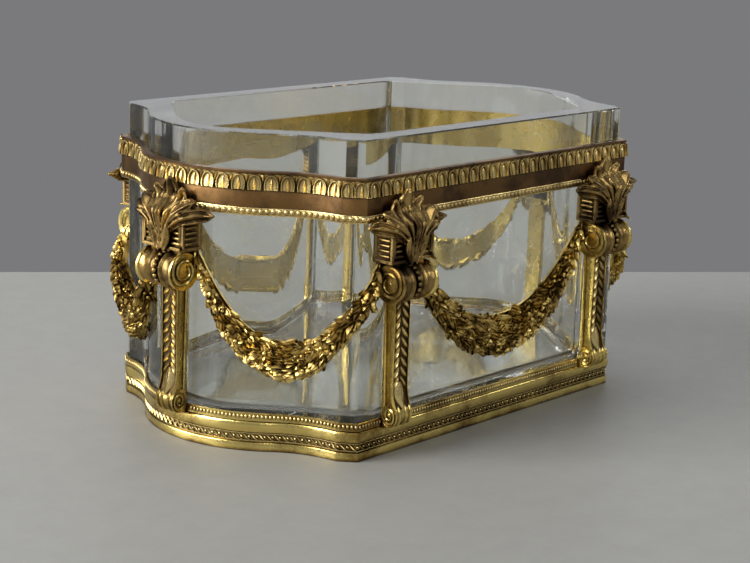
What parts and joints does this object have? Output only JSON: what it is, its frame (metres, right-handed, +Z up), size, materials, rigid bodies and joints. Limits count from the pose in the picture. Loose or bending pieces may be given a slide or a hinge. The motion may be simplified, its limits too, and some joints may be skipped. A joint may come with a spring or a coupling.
{
  "type": "crystal casket box",
  "caption": "Open thick crystal box with bowed ends, standing loose in a gilt bronze frame with consoles, acanthus leaves and laurel garlands.",
  "frame": {"origin": "on the table surface under the middle of the box", "axes": "+Z up, +X along the straight long sides towards a bowed end, +Y across"},
  "size_m": [0.276, 0.1784, 0.1368],
  "materials": {
    "crystal": "polished cut lead crystal",
    "gilt_bronze": "worn mercury gilding, satin",
    "chased_gilt_bronze": "chased and burnished gilding with dark recesses",
    "patinated_bronze": "red brown patina, semi matt",
    "dark_screws": "darkened screw heads"
  },
  "bodies": {
    "frame": {"base_ring": "gilt_bronze", "guilloche_band": "chased_gilt_bronze", "base_bead_row": "chased_gilt_bronze", "frieze_band": "patinated_bronze", "bead_edging": "chased_gilt_bronze", "leaf_tip_moulding": "chased_gilt_bronze", "rim_fillet": "patinated_bronze", "console_front_left": "gilt_bronze", "console_front_right": "gilt_bronze", "console_back_left": "gilt_bronze", "console_back_right": "gilt_bronze", "console_end_left": "gilt_bronze", "console_end_right": "gilt_bronze", "acanthus_front_left": "chased_gilt_bronze", "acanthus_front_right": "chased_gilt_bronze", "acanthus_back_left": "chased_gilt_bronze", "acanthus_back_right": "chased_gilt_bronze", "acanthus_end_left": "chased_gilt_bronze", "acanthus_end_right": "chased_gilt_bronze", "garland_front": "chased_gilt_bronze", "garland_back": "chased_gilt_bronze", "garland_corner_front_left": "chased_gilt_bronze", "garland_corner_front_right": "chased_gilt_bronze", "garland_corner_back_left": "chased_gilt_bronze", "garland_corner_back_right": "chased_gilt_bronze", "frieze_screws": "dark_screws"},
    "vessel": {"crystal_vessel": "crystal"}
  },
  "joints": [
    {"name": "vessel_lift", "type": "slide", "parent": "frame", "child": "vessel", "axis": [0, 0, 1], "range_m": [0, 0.125]}
  ]
}
